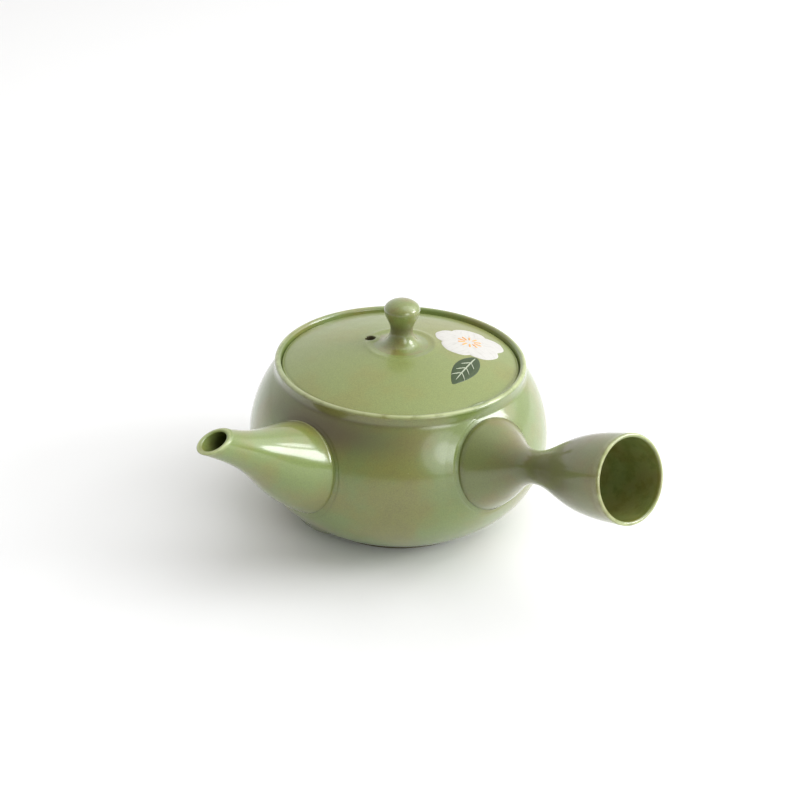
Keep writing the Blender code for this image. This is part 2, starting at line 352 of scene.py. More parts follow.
@dataclass(frozen=True)
class ClayFinish:
    """Burnished green stoneware, with mottling, grain, specks, worn edges, dark joints, and painted shade in
    the joints' grooves, creases, recesses and under the rim.
    """

    name: str
    green: Colour = (0.162, 0.220, 0.051)
    olive: Colour = (0.190, 0.194, 0.038)
    brown: Colour = (0.146, 0.122, 0.036)
    pale: Colour = (0.430, 0.480, 0.220)
    stain_and_shade: Colour = (0.080, 0.058, 0.028)
    roughness: float = 0.36
    coat: float = 1.0
    coat_roughness: float = 0.13
    patch: float = 0.026
    grain: float = 0.00045
    relief: float = 0.15
    browning: float = 0.34
    mottle: float = 0.2
    cloudiness: float = 0.65
    olive_range: Span = (0.42, 0.62)
    rust_range: Span = (0.52, 0.72)
    tones: Stops = ((0.25, (0.80, 0.80, 0.80)), (0.78, (1.18, 1.18, 1.18)))
    dark_speck: Span = (0.0052, 0.00022)
    dark_strength: float = 0.6
    pale_speck: Span = (0.0075, 0.00024)
    pale_strength: float = 0.4
    chipping: Span = (0.30, 0.60)
    worn_range: Span = (0.15, 0.95)
    worn_strength: float = 0.8
    stain_and_shade_strength: float = 0.85
    sheen_patch: float = 0.004
    sheen_change: float = 0.16
    grain_change: float = 0.12
    stain_and_shade_roughness: float = 0.25
    wave: float = 0.012
    wave_height: float = 6.0
    grain_height: float = 0.35
    bump_distance: float = 0.00012

    def colour(self, book: NodeBook) -> Link:
        """Mottles, specks and wears the clay, and darkens it with stains and painted shade.

        Args:
            book: The material's nodes.

        Returns:
            Colour over the surface.
        """
        cloud = book.noise(self.patch, detail=4.0, rough=0.55)
        fine = book.noise(self.patch * self.mottle, detail=4.0, rough=0.6)
        body = book.blend(cloud.between(*self.olive_range), self.green, self.olive)
        rust = (cloud * self.cloudiness + fine * (1 - self.cloudiness)).between(*self.rust_range)
        body = book.blend(rust * self.browning, body, self.brown)
        grain = book.noise(self.grain, detail=2.0, rough=0.7)
        tone = book.add("ShaderNodeValToRGB", {"stops": self.tones}, {0: grain})
        body = book.blend(1.0, body, tone, "MULTIPLY")
        body = book.blend(book.specks(*self.dark_speck) * self.dark_strength, body, self.stain_and_shade)
        body = book.blend(book.specks(*self.pale_speck) * self.pale_strength, body, self.pale)
        chipped = fine.between(*self.chipping) * 0.5 + 0.5
        worn = (book.painted("wear") * chipped).between(*self.worn_range)
        body = book.blend(worn * self.worn_strength, body, self.pale)
        # Darkening from the mesh's painted value: real stains and dark joints, plus painted shade in the
        # neck crease, under the foot, in the vent, under the rim above the spout and under the knob's head.
        return book.blend(book.painted("stain_and_shade") * self.stain_and_shade_strength, body, self.stain_and_shade)

    def build(self) -> bpy.types.Material:
        """Makes the material.

        Returns:
            The material.
        """
        book = NodeBook(self.name)
        uneven = book.noise(self.sheen_patch, detail=3.0)
        grain = book.noise(self.grain * 1.3, detail=2.0, rough=0.6)
        rough = self.roughness + (uneven - MIDDLE) * self.sheen_change + (grain - MIDDLE) * self.grain_change
        rough = rough + book.painted("stain_and_shade") * self.stain_and_shade_roughness
        slow = book.noise(self.wave, detail=1.0)
        height = grain * self.grain_height + slow * self.wave_height
        inputs = {"Strength": self.relief, "Distance": self.bump_distance, "Height": height}
        bumped = book.add("ShaderNodeBump", None, inputs)
        book.surface(Base_Color=self.colour(book), Roughness=rough, Normal=bumped)
        book.surface(Coat_Weight=self.coat, Coat_Roughness=self.coat_roughness, Metallic=0.0)
        book.material.diffuse_color = (*self.green, 1.0)
        return book.material


@dataclass(frozen=True)
class PaintFinish:
    """Thick brushed enamel paint, whose brush streaks follow the stroke."""

    name: str
    colour: Colour
    shade: Colour
    streak: float = 0.5
    roughness: float = 0.45
    stretch: Colour = (1.2, 16.0, 1.0)
    blot: float = 0.0016
    brushing: float = 0.75
    thin_range: Span = (0.46, 0.70)
    blot_height: float = 0.4
    sheen_change: float = 0.2
    relief: float = 0.35
    bump_distance: float = 0.00008

    def build(self) -> bpy.types.Material:
        """Makes the material.

        Returns:
            The material.
        """
        book = NodeBook(self.name)
        lengthwise = book.add("ShaderNodeUVMap", {"uv_map": STROKE_MAP})
        stretched = book.add("ShaderNodeMapping", None, {"Vector": lengthwise, "Scale": self.stretch})
        brush = book.noise(1.0, detail=4.0, rough=0.6, at=stretched)
        thin = book.noise(self.blot, detail=3.0)
        mask = (brush * self.brushing + thin * (1 - self.brushing)).between(*self.thin_range)
        tint = book.blend(mask * self.streak, self.colour, self.shade)
        height = brush + thin * self.blot_height
        inputs = {"Strength": self.relief, "Distance": self.bump_distance, "Height": height}
        bumped = book.add("ShaderNodeBump", None, inputs)
        rough = (thin - MIDDLE) * self.sheen_change + self.roughness
        book.surface(Base_Color=tint, Roughness=rough, Normal=bumped)
        book.surface(Metallic=0.0)
        book.material.diffuse_color = (*self.colour, 1.0)
        return book.material


@dataclass(frozen=True)
class Palette:
    """All the finishes of the teapot."""

    body: ClayFinish = ClayFinish("burnished_clay")
    handle: ClayFinish = ClayFinish(
        "handle_clay", green=(0.158, 0.194, 0.044), olive=(0.182, 0.170, 0.034), browning=0.7, patch=0.020
    )
    lid: ClayFinish = ClayFinish(
        "lid_clay_satin",
        green=(0.212, 0.258, 0.071),
        olive=(0.222, 0.240, 0.060),
        roughness=0.45,
        coat=0.6,
        coat_roughness=0.19,
        browning=0.15,
    )
    knob: ClayFinish = ClayFinish(
        "knob_clay", green=(0.190, 0.236, 0.062), olive=(0.205, 0.200, 0.048), browning=0.8, patch=0.009
    )
    strainer: ClayFinish = ClayFinish("raw_clay", roughness=0.62, coat=0.0, relief=0.35)
    petal: PaintFinish = PaintFinish("petal_white", (0.575, 0.56, 0.53), (0.43, 0.41, 0.38), streak=0.7)
    stamen: PaintFinish = PaintFinish("stamen_orange", (0.83, 0.36, 0.085), (0.80, 0.50, 0.23))
    leaf: PaintFinish = PaintFinish("leaf_green", (0.026, 0.052, 0.012), (0.080, 0.105, 0.036))
    vein: PaintFinish = PaintFinish("vein_pale", (0.42, 0.46, 0.34), (0.26, 0.31, 0.20))


# ---------------------------------------------------------------- meshes


@dataclass(frozen=True)
class Station:
    """One point of a turned profile, with its wear and its darkening, from stains and painted shade, set on
    its ring.
    """

    radius: float
    height: float
    wear: float = 0.0
    stain_and_shade: float = 0.0


def chain(points: Iterable[Point], wear: float = 0.0, stain_and_shade: float = 0.0) -> list[Station]:
    """Stations at plain points, all painted alike."""
    return [Station(radius, height, wear, stain_and_shade) for radius, height in points]


class Turning:
    """Mesh turned from a profile: one spin of a chain of stations about the Z axis."""

    def __init__(self, stations: Sequence[Station], steps: int, closed: bool = False) -> None:
        """Spins the profile.

        Args:
            stations: The profile, from one end to the other.
            steps: Faces round the axis.
            closed: Whether the last station joins the first.
        """
        self.mesh = bmesh.new()
        self.index = self.mesh.verts.layers.int.new("station")
        self.wear = self.mesh.verts.layers.float.new("wear")
        self.stain_and_shade = self.mesh.verts.layers.float.new("stain_and_shade")
        ring = []
        for number, station in enumerate(stations):
            vertex = self.mesh.verts.new((station.radius, 0, station.height))
            vertex[self.index] = number
            vertex[self.wear] = station.wear
            vertex[self.stain_and_shade] = station.stain_and_shade
            ring.append(vertex)
        pairs = list(zip(ring, ring[1:])) + ([(ring[-1], ring[0])] if closed else [])
        edges = [self.mesh.edges.new(pair) for pair in pairs]
        centre = (0, 0, 0)
        bmesh.ops.spin(
            self.mesh, geom=ring + edges, cent=centre, axis=UP, angle=math.tau, steps=steps, use_merge=True
        )
        bmesh.ops.remove_doubles(self.mesh, verts=self.mesh.verts[:], dist=MERGE_DISTANCE)

    def pierce(self, at: Vector, axis: Vector, radius: float, reach: float, cuts: int = 4) -> None:
        """Opens a round hole through the wall, and lines it.

        Args:
            at: A point on the hole's axis, in the wall.
            axis: Unit vector along the hole.
            radius: The hole's radius.
            reach: How far from the point, along the axis, faces are taken out.
            cuts: Loops that divide the lining.
        """

        def across(point: Vector) -> Vector:
            """Part of a point's offset that is square to the axis."""
            offset = point - at
            return offset - axis * offset.dot(axis)

        def inside(face: bmesh.types.BMFace) -> bool:
            """Whether a face lies in the hole."""
            middle = face.calc_center_median()
            return abs((middle - at).dot(axis)) < reach and across(middle).length < radius

        doomed = [face for face in self.mesh.faces if inside(face)]
        bmesh.ops.delete(self.mesh, geom=doomed, context="FACES")
        rims = [edge for edge in self.mesh.edges if edge.is_boundary]
        for vertex in {v for edge in rims for v in edge.verts}:
            offset = across(vertex.co)
            vertex.co += offset.normalized() * (radius - offset.length)
        made = bmesh.ops.bridge_loops(self.mesh, edges=rims)
        bmesh.ops.subdivide_edges(self.mesh, edges=made["edges"], cuts=cuts, use_grid_fill=True)

    def piece(self, name: str, *finishes: bpy.types.Material) -> bpy.types.Object:
        """Points the faces outwards and makes the mesh a smooth-shaded object."""
        bmesh.ops.recalc_face_normals(self.mesh, faces=self.mesh.faces[:])
        return as_object(self.mesh, name, *finishes)


def as_object(mesh: bmesh.types.BMesh, name: str, *finishes: bpy.types.Material) -> bpy.types.Object:
    """Makes a smooth-shaded object at the origin.

    Args:
        mesh: The finished bmesh, which is freed.
        name: The piece's name.
        *finishes: Its materials, in order of material index.

    Returns:
        The object.
    """
    data = bpy.data.meshes.new(name)
    mesh.to_mesh(data)
    mesh.free()
    data.shade_smooth()
    for finish in finishes:
        data.materials.append(finish)
    made = bpy.data.objects.new(name, data)
    bpy.context.scene.collection.objects.link(made)
    return made


def enrol(piece: bpy.types.Object, body: Body, slot: Slot, *nodes: str) -> None:
    """Lets a finished piece ride on its body, and stand for its CAD nodes.

    Args:
        piece: The piece.
        body: The body that carries it.
        slot: Its material slot in the record. Not used.
        *nodes: CAD nodes that it replaces.
    """
    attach(piece, body.value)
    if nodes:
        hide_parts(*nodes)
    log.info("%s: %d vertices on %s", piece.name, len(piece.data.vertices), body.value)


# ---------------------------------------------------------------- bowl


@dataclass
class Bowl:
    """Thrown bowl: two elliptical arcs that meet at the belly, a beaded rim and a trimmed foot."""

    belly: float = 0.0320
    shoulder: float = 0.0505
    hip_width: float = 0.0425
    hip_drop: float = 0.0345
    wall: float = 0.0032
    floor: float = 0.0045
    foot_radius: float = 0.0365
    foot_height: float = 0.0019
    neck: float = 0.0597
    bead_radius: float = 0.00125
    bead_centre: Point = (0.04765, 0.06345)
    ledge_height: float = 0.0604
    ledge_radius: float = 0.0426
    ledge_depth: float = 0.0026
    inner_shoulder: float = 0.0560
    outlet_radius: float = 0.0125
    outlet_reach: float = 0.03
    bead_end: float = -28.0
    neck_band: tuple[Point, ...] = (
        (0.04874, 0.06225),
        (0.04877, 0.06160),
        (0.04884, 0.06100),
        (0.04900, 0.06040),
    )
    # Painted shade: the crease below the neck band is darkened.
    crease: Span = (0.0607, 0.0006)
    crease_shade: float = 0.22
    foot_edge: float = 0.0003
    foot_band: float = 0.0035
    # Painted shade: a darker band under the rim, on the spout's side.
    shade_azimuth: Span = (-72.0, 38.0)
    shade_height: Span = (0.0560, 0.0066)
    steps: int = 256
    radius: float = field(init=False)

    def __post_init__(self) -> None:
        """Takes the bowl's radius from the frame."""
        low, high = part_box("pot_body")
        self.radius = (high[0] - low[0]) / 2

    def radius_at(self, height: float, inset: float = 0.0) -> float:
        """Radius of the wall.

        Args:
            height: Height above the foot.
            inset: How far inside the outer face.

        Returns:
            The radius there.
        """
        if height > self.belly:
            share = min(1.0, (height - self.belly) / (self.shoulder - inset))
            return (self.radius - inset) * math.sqrt(1 - share * share)
        share = min(1.0, (self.belly - height) / (self.hip_drop - inset))
        return self.radius - self.hip_width + (self.hip_width - inset) * math.sqrt(1 - share * share)

    def beyond(self, point: Vector) -> float:
        """Distance of a point outside the outer wall, measured level."""
        return point.xy.length - self.radius_at(point.z)

    def wall_points(self, inset: float, top: float, bottom: float) -> list[Point]:
        """Wall from top to bottom, with points at even angles about the belly.

        Args:
            inset: How far inside the outer face.
            top: Height of the first point.
            bottom: Height of the last point.

        Returns:
            The points, as (radius, height).
        """
        shoulder, hip = self.shoulder - inset, self.hip_drop - inset
        upper = spread(math.asin((top - self.belly) / shoulder), 0, 44)
        lower = spread(0, math.asin((self.belly - bottom) / hip), 40)[1:]
        heights = [self.belly + shoulder * math.sin(a) for a in upper]
        heights += [self.belly - hip * math.sin(a) for a in lower]
        return [(self.radius_at(height, inset), height) for height in heights]

    def rim(self) -> list[Station]:
        """Bead, neck band and the crease below it.

        Returns:
            The stations, from the bead's inner side outwards and down.
        """
        turns = spread(180, self.bead_end, 15)
        points = arc(self.bead_centre, (self.bead_radius,) * 2, turns[0], turns[-1], len(turns))
        bead = [Station(*point, wear=0.9 * bump(turn, 62, 52)) for turn, point in zip(turns, points)]
        band = flow([points[-1], *self.neck_band, (self.radius_at(self.neck), self.neck)], 4)[1:-1]
        # Painted shade along the crease.
        crease_band = [Station(*point, stain_and_shade=self.crease_shade * bump(point[1], *self.crease)) for point in band]
        return bead + crease_band

    def foot(self) -> list[Station]:
        """Trimmed foot, and the flat underside with one turned line.

        Returns:
            The stations, from the wall down and in to the axis.
        """
        edge, outer = self.foot_edge, self.foot_radius
        line = outer - self.foot_band
        points = [(outer + 0.0003, self.foot_height + 0.00002), (outer - 0.0003, 0.0017)]
        points += [(outer - 0.00035, 0.0014), (outer - 0.00015, 0.0009)]
        points += arc((outer - edge, edge), (edge, edge), 0, -90, 5)
        points += [(line, 0.0), (line - 0.0003, 0.0003), (line - 0.0008, 0.0003), (line - 0.0011, 0.0)]
        points += [(radius, 0.0) for radius in spread(line - 0.004, 0, 8)]
        # Darkened all over: painted shade under the pot's bottom edge, together with staining of the bare
        # foot.
        return chain(points, stain_and_shade=1.0)

    def inside(self) -> list[Station]:
        """Floor, inner wall and the ledge that carries the lid.

        Returns:
            The stations, from the axis out and up to the bead's inner side.
        """
        wall = self.wall_points(self.wall, self.inner_shoulder, self.floor)[::-1]
        bead_inner = self.bead_centre[0] - self.bead_radius
        under = (self.ledge_radius, self.ledge_height - self.ledge_depth)
        edge = 0.0004
        over = arc((self.ledge_radius + edge, self.ledge_height - edge), (edge, edge), 180, 90, 4)
        floor = [(radius, self.floor) for radius in spread(0, wall[0][0] - 0.001, 10)]
        corner = (bead_inner, self.ledge_height)
        return chain(floor + wall + [under] + over + [corner])

    def painted_shade(self, point: Vector) -> float:
        """Strength of the painted shade under the rim above the spout, at a point of the wall."""
        azimuth = math.degrees(math.atan2(point.x, -point.y))
        return bump(azimuth, *self.shade_azimuth) * bump(point.z, *self.shade_height)

    def build(self, finish: bpy.types.Material, spout: "Tube") -> None:
        """Turns the bowl and opens the outlet into the spout.

        Args:
            finish: The bowl's material.
            spout: The spout that the outlet leads to.
        """
        walls = self.wall_points(0.0, self.neck, self.foot_height)
        turning = Turning(self.inside() + self.rim() + chain(walls) + self.foot(), self.steps)
        turning.pierce(spout.origin, spout.axis, self.outlet_radius, self.outlet_reach)
        # Paints shade under the rim above the spout.
        for vertex in turning.mesh.verts:
            vertex[turning.stain_and_shade] = min(1.0, vertex[turning.stain_and_shade] + self.painted_shade(vertex.co))
        enrol(turning.piece("bowl", finish), Body.POT, Slot.BODY, "pot_body")


# ---------------------------------------------------------------- spout and handle


@dataclass(frozen=True)
class Hoop:
    """One ring of a tube: its share of the way from root to mouth, and its offsets from the surface."""

    share: float
    lift: float = 0.0
    offset: float = 0.0
    bore: float = 0.0
    wear: float = 0.0
    stain_and_shade: float = 0.0


@dataclass
class Tube:
    """Hollow turned tube, open at its mouth and luted to the bowl with a groove and a soft ridge."""

    name: str
    bowl: Bowl
    azimuth: float
    rise: float
    origin: Vector
    reach: float
    search: tuple[float, float]
    root_wall: float
    mouth_wall: float
    mouth: Vector
    mouth_normal: Vector
    steps: int = 168
    rows: int = 64
    bore_shift: float = 0.0
    root_width: float = 0.0
    lip_wear: float = 0.9
    neck_stain: float = 0.0
    seam_turn: float = 0.0
    seam_rest: float = 0.2
    seam_depth: float = 0.0005
    bury: float = 0.0009
    ridge: tuple[Point, ...] = (
        (0.0060, -0.00010),
        (0.0050, -0.00002),
        (0.0040, 0.00005),
        (0.0030, 0.00012),
        (0.0023, 0.00018),
        (0.0017, 0.00018),
        (0.0012, 0.00004),
    )
    groove: tuple[Point, ...] = (
        (0.0012, 0.00004),
        (0.0008, -0.00020),
        (0.0003, -0.00040),
        (-0.0001, -0.00034),
    )
    edge: tuple[Point, ...] = (
        (-0.0001, -0.00034),
        (-0.00026, 0.00008),
        (-0.00024, 0.00060),
        (-0.00010, 0.00120),
    )
    # Darkening of the groove and of the tube's root edge: dark joints, with painted shade from the seam's
    # strength round the axis.
    groove_stain_and_shade: float = 0.85
    edge_stain_and_shade: float = 0.2
    neck_place: Span = (0.54, 0.34)
    wall_shares: Span = (0.036, 0.985)
    blank_radius: float = 0.01
    worn_end: float = 0.93
    rounds: int = 3

    def __post_init__(self) -> None:
        """Sets the tube's own axes: along it, level across it, and up across it."""
        self.axis = outward(self.azimuth, self.rise)
        self.across = Vector((0, 0, 1)).cross(self.axis).normalized()
        self.up = self.axis.cross(self.across)

    def radius(self, along: float) -> float:
        """Outer radius at a distance along the axis."""
        raise NotImplementedError

    def spoke(self, turn: float, radius: float, bore: float, share: float) -> Vector:
        """Offset from the axis, with the root's oval and the bore's shift.

        Args:
            turn: Angle round the axis.
            radius: Distance from the axis.
            bore: 1 on the inside, 0 on the outside.
            share: Share of the way from root to mouth.

        Returns:
            The offset.
        """
        oval = 1 + self.root_width * smooth(1 - 2 * share) * math.cos(2 * turn)
        side = self.across * math.cos(turn) + self.up * math.sin(turn)
        return side * radius * oval + self.up * self.bore_shift * bore * share * share

    def root_at(self, spoke: Vector) -> float:
        """Distance along the axis where a line beside it leaves the bowl."""
        start = self.origin + spoke
        return solve(lambda s: self.bowl.beyond(start + self.axis * s), *self.search)

    def mouth_at(self, spoke: Vector) -> float:
        """Distance along the axis where a line beside it meets the mouth's plane."""
        start = self.mouth - self.origin - spoke
        return start.dot(self.mouth_normal) / self.axis.dot(self.mouth_normal)

    def settle(self, hoop: Hoop, turn: float, offset: float) -> tuple[float, Vector]:
        """Finds where a hoop's point lies, because its radius depends on that too.

        Args:
            hoop: The hoop.
            turn: Angle round the axis.
            offset: Distance outside the tube's surface.

        Returns:
            Distance along the axis, and the offset from it.
        """
        along = self.reach * hoop.share
        for _ in range(self.rounds):
            spoke = self.spoke(turn, self.radius(along) + offset, hoop.bore, hoop.share)
            root = self.root_at(spoke) if hoop.share < 1 else 0.0
            along = root * (1 - hoop.share) + self.mouth_at(spoke) * hoop.share
        return along, spoke

    def point(self, hoop: Hoop, turn: float) -> Vector:
        """Place of a hoop's point.

        Args:
            hoop: The hoop.
            turn: Angle round the axis.

        Returns:
            The place.
        """
        if hoop.share > 0:
            along, spoke = self.settle(hoop, turn, hoop.offset)
        else:
            along, _ = self.settle(hoop, turn, 0.0)
            spoke = self.spoke(turn, self.radius(along) + hoop.offset, hoop.bore, 0.0)
            along = self.root_at(spoke)
        on_seam = hoop.share == 0 and hoop.bore == 0 and abs(hoop.lift) < self.seam_depth
        lift = hoop.lift * self.pressed_and_shaded(turn) if on_seam else hoop.lift
        return self.origin + spoke + self.axis * (along + lift)

    def pressed_and_shaded(self, turn: float) -> float:
        """Strength of the seam at an angle round the axis, from seam_rest to 1: it sets the groove's depth
        and scales the groove's darkening, which is painted shade heaviest towards seam_turn.
        """
        facing = math.cos(turn - math.radians(self.seam_turn))
        return self.seam_rest + (1 - self.seam_rest) * smooth((facing + 0.5) / 1.1)

    def seam(self) -> list[Hoop]:
        """Soft ridge of clay on the bowl, then the groove, then the tube's own rounded edge.

        Returns:
            The hoops, from the bowl towards the tube.
        """
        hoops = [Hoop(0, lift, offset) for offset, lift in flow(self.ridge, 3)]
        for points, stain_and_shade in ((self.groove, self.groove_stain_and_shade), (self.edge, self.edge_stain_and_shade)):
            hoops += [Hoop(0, lift, offset, stain_and_shade=stain_and_shade) for offset, lift in flow(points, 3)[1:]]
        return hoops

    def wall(self, share: float) -> float:
        """Wall's thickness on the way to the mouth."""
        return self.root_wall + (self.mouth_wall - self.root_wall) * smooth(share)

    def lip(self) -> list[Hoop]:
        """Rounded edge of the mouth.

        Returns:
            The hoops, from outside to inside.
        """
        half = self.mouth_wall / 2
        hoops = []
        for turn in spread(12, 168, 9):
            angle = math.radians(turn)
            inwards = (1 - math.cos(angle)) / 2
            worn = self.lip_wear * bump(turn, 60, 60)
            lift = half * math.sin(angle) - half
            hoops.append(Hoop(1.0, lift, -self.mouth_wall * inwards, bore=inwards, wear=worn))
        return hoops

    def hoops(self) -> list[Hoop]:
        """The whole profile.

        Returns:
            The hoops, from the ridge round the mouth and back inside to the root.
        """
        shares = spread(*self.wall_shares, self.rows)
        outer = []
        for share in shares:
            worn = self.lip_wear * 0.6 * smooth((share - self.worn_end) / 0.055)
            outer.append(Hoop(share, wear=worn, stain_and_shade=self.neck_stain * bump(share, *self.neck_place)))
        inner = [Hoop(s, 0.0, -self.wall(s), bore=1.0, wear=0.4) for s in reversed(shares[::2])]
        buried = [Hoop(0, -self.bury, -self.root_wall, bore=1.0), Hoop(0, -self.bury, 0.002)]
        return self.seam() + outer + self.lip() + inner + buried

    def build(self, finish: bpy.types.Material, bowl_finish: bpy.types.Material, node: str) -> None:
        """Spins the hoops and settles each one on the bowl.

        Args:
            finish: Finish of the tube.
            bowl_finish: Finish of the bowl, which the ridge shares.
            node: CAD node that the tube stands for.
        """
        hoops = self.hoops()
        blank = self.blank_radius
        stations = [Station(blank + h.offset, h.share + h.lift, h.wear, h.stain_and_shade) for h in hoops]
        turning = Turning(stations, self.steps, closed=True)
        luting = len([hoop for hoop in self.seam() if hoop.offset > 0])
        for vertex in turning.mesh.verts:
            turn = math.atan2(vertex.co.y, vertex.co.x)
            hoop = hoops[vertex[turning.index]]
            vertex.co = self.point(hoop, turn)
            # Painted shade: the seam's darkening is heaviest towards seam_turn and fades round the far side.
            if hoop.share == 0:
                vertex[turning.stain_and_shade] *= self.pressed_and_shaded(turn)
            # The ridge takes the same painted shade under the rim.
            if vertex[turning.index] < luting:
                vertex[turning.stain_and_shade] = min(1.0, vertex[turning.stain_and_shade] + self.bowl.painted_shade(vertex.co))
        for face in turning.mesh.faces:
            face.material_index = int(max(vertex[turning.index] for vertex in face.verts) < luting)
        enrol(turning.piece(self.name, finish, bowl_finish), Body.POT, Slot.BODY, node)


@dataclass
class Spout(Tube):
    """Short spout that swells into the bowl."""

    tip: float = 0.0051
    swell: float = 0.0134
    waist: float = 0.0153
    taper: float = 0.0090

    def radius(self, along: float) -> float:
        """Outer radius at a distance along the axis."""
        return self.tip + self.swell / (1 + math.exp((along - self.waist) / self.taper))


@dataclass
class Handle(Tube):
    """Waisted handle: a bell at the root and a flare at the open end."""

    core: float = 0.0020
    bell: tuple[float, float, float] = (0.0198, 0.0663, 0.0072)
    flare: tuple[float, float, float] = (0.0140, 0.0960, 0.0082)

    def radius(self, along: float) -> float:
        """Outer radius.

        Args:
            along: Distance along the axis.

        Returns:
            The radius there.
        """
        bell, bell_place, bell_softness = self.bell
        flare, flare_place, flare_softness = self.flare
        root = bell / (1 + math.exp((along - bell_place) / bell_softness))
        end = flare / (1 + math.exp((flare_place - along) / flare_softness))
        return self.core + root + end


def make_spout(bowl: Bowl) -> Spout:
    """Sets out the spout, 80 degrees round from the handle.

    Args:
        bowl: The bowl that it is luted to.

    Returns:
        The spout.
    """
    azimuth, rise = -80.3, 32.2
    level = outward(azimuth, 0)
    origin = level * 0.0582 + Vector((0, 0, 0.0416))
    mouth = level * 0.0997 + Vector((0, 0, 0.0672))
    return Spout(
        name="spout_tube",
        bowl=bowl,
        azimuth=azimuth,
        rise=rise,
        origin=origin,
        reach=0.047,
        search=(-0.026, 0.016),
        root_wall=0.0026,
        mouth_wall=0.0016,
        mouth=mouth,
        mouth_normal=outward(azimuth, 71.5),
        root_width=0.03,
        seam_turn=-30.0,
    )


def make_handle(bowl: Bowl) -> Handle:
    """Sets out the handle, along -Y.

    Args:
        bowl: The bowl that it is luted to.

    Returns:
        The handle.
    """
    rise, length = 19.9, 0.1301
    origin = Vector((0, 0, 0.0235))
    axis = outward(0, rise)
    return Handle(
        name="handle_tube",
        bowl=bowl,
        azimuth=0.0,
        rise=rise,
        origin=origin,
        reach=length,
        search=(0.030, 0.080),
        root_wall=0.0026,
        mouth_wall=0.0016,
        mouth=origin + axis * length,
        mouth_normal=axis,
        rows=84,
        neck_stain=0.80,
        seam_turn=185.0,
    )


# ---------------------------------------------------------------- lid and knob


@dataclass
class Lid:
    """Domed lid with a soft collar round the knob, a vent and a locating flange."""

    edge_top: float = 0.0628
    crown: float = 0.0712
    wall: float = 0.0030
    seat: float = 0.0607
    flange_radius: float = 0.0419
    flange_wall: float = 0.0026
    flange_bottom: float = 0.0548
    collar: float = 0.0134
    vent_radius: float = 0.00215
    vent_distance: float = 0.0127
    vent_azimuth: float = -148.6
    vent_reach: float = 0.02
    vent_flat: Span = (1.1, 2.2)
    collar_skirt: float = 0.004
    collar_wear: float = 0.35
    ring_height: float = 0.00020
    ring_dip: float = 0.00005
    edge_round: Point = (0.0007, 0.0009)
    under_round: float = 0.0003
    flange_round: float = 0.0005
    steps: int = 320
    radius: float = field(init=False)

    def __post_init__(self) -> None:
        """Takes the lid's radius from the frame."""
        low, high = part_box("lid")
        self.radius = (high[0] - low[0]) / 2

    def dome(self, radius: float) -> float:
        """Height of the plain dome at a distance from the axis."""
        return self.crown - (self.crown - self.edge_top) * (radius / self.radius) ** 2

    def top(self, radius: float) -> float:
        """Height of the lid's top, with its collar.

        Args:
            radius: Distance from the axis.

        Returns:
            The height there.
        """
        level = self.dome(self.collar) + 0.00004
        share = smooth((self.collar + 0.0012 - radius) / 0.0030)
        crest = self.ring_height * bump(radius, self.collar, 0.0012)
        ring = crest - self.ring_dip * bump(radius, self.collar - 0.0026, 0.0014)
        return self.dome(radius) * (1 - share) + level * share + ring

    def stations(self) -> list[Station]:
        """The lid's profile.

        Returns:
            The stations, from the top's centre round the edge to the ceiling's centre.
        """
        skirt = self.collar + self.collar_skirt
        close = spread(0.0, skirt, 54)
        far = spread(skirt, self.radius - 0.0011, 52)[1:]
        top = []
        for radius in close + far:
            worn = self.collar_wear * bump(radius, self.collar, 0.0008)
            top.append(Station(radius, self.top(radius), wear=worn))
        out, down = self.edge_round
        edge = arc((self.radius - out, self.edge_top - down), self.edge_round, 78, 0, 8)
        bend = self.under_round
        under = arc((self.radius - bend, self.seat + bend), (bend, bend), 0, -90, 4)
        bend = self.flange_round
        inner = self.flange_radius - self.flange_wall
        flange = [(self.flange_radius, self.seat)]
        flange += arc((self.flange_radius - bend, self.flange_bottom + bend), (bend, bend), 0, -90, 5)
        flange += arc((inner + bend, self.flange_bottom + bend), (bend, bend), -90, -180, 5)
        ceiling = [(r, self.dome(r) - self.wall) for r in spread(inner, skirt, 14) + close[::-1][1:]]
        return top + chain(edge, wear=0.8) + chain(under) + chain(flange) + chain(ceiling)

    def settle_vent(self, turning: Turning, at: Vector) -> None:
        """Flattens the top round the vent.

        Args:
            turning: The lid's mesh.
            at: A point on the vent's axis.
        """
        near, far = self.vent_flat
        for vertex in turning.mesh.verts:
            radius, gap = vertex.co.xy.length, (vertex.co - at).xy.length / self.vent_radius
            if vertex.co.z > self.top(radius) - SKIN and gap < far:
                vertex.co.z += (self.dome(radius) + 0.00006 - vertex.co.z) * (1 - smooth(gap - near))

    def build(self, finish: bpy.types.Material) -> None:
        """Turns the lid, opens its vent and paints shade inside it.

        Args:
            finish: The lid's material.
        """
        turning = Turning(self.stations(), self.steps)
        at = outward(self.vent_azimuth, 0) * self.vent_distance + Vector((0, 0, self.crown))
        self.settle_vent(turning, at)
        turning.pierce(at, UP, self.vent_radius, self.vent_reach)
        # Painted shade: the vent's lining is darkened.
        for vertex in turning.mesh.verts:
            lined = (vertex.co - at).xy.length < self.vent_radius * 1.02
            if lined and vertex.co.z < self.top(vertex.co.xy.length) - SKIN:
                vertex[turning.stain_and_shade] = 1.0
        enrol(turning.piece("domed_lid", finish), Body.LID, Slot.LID, "lid")


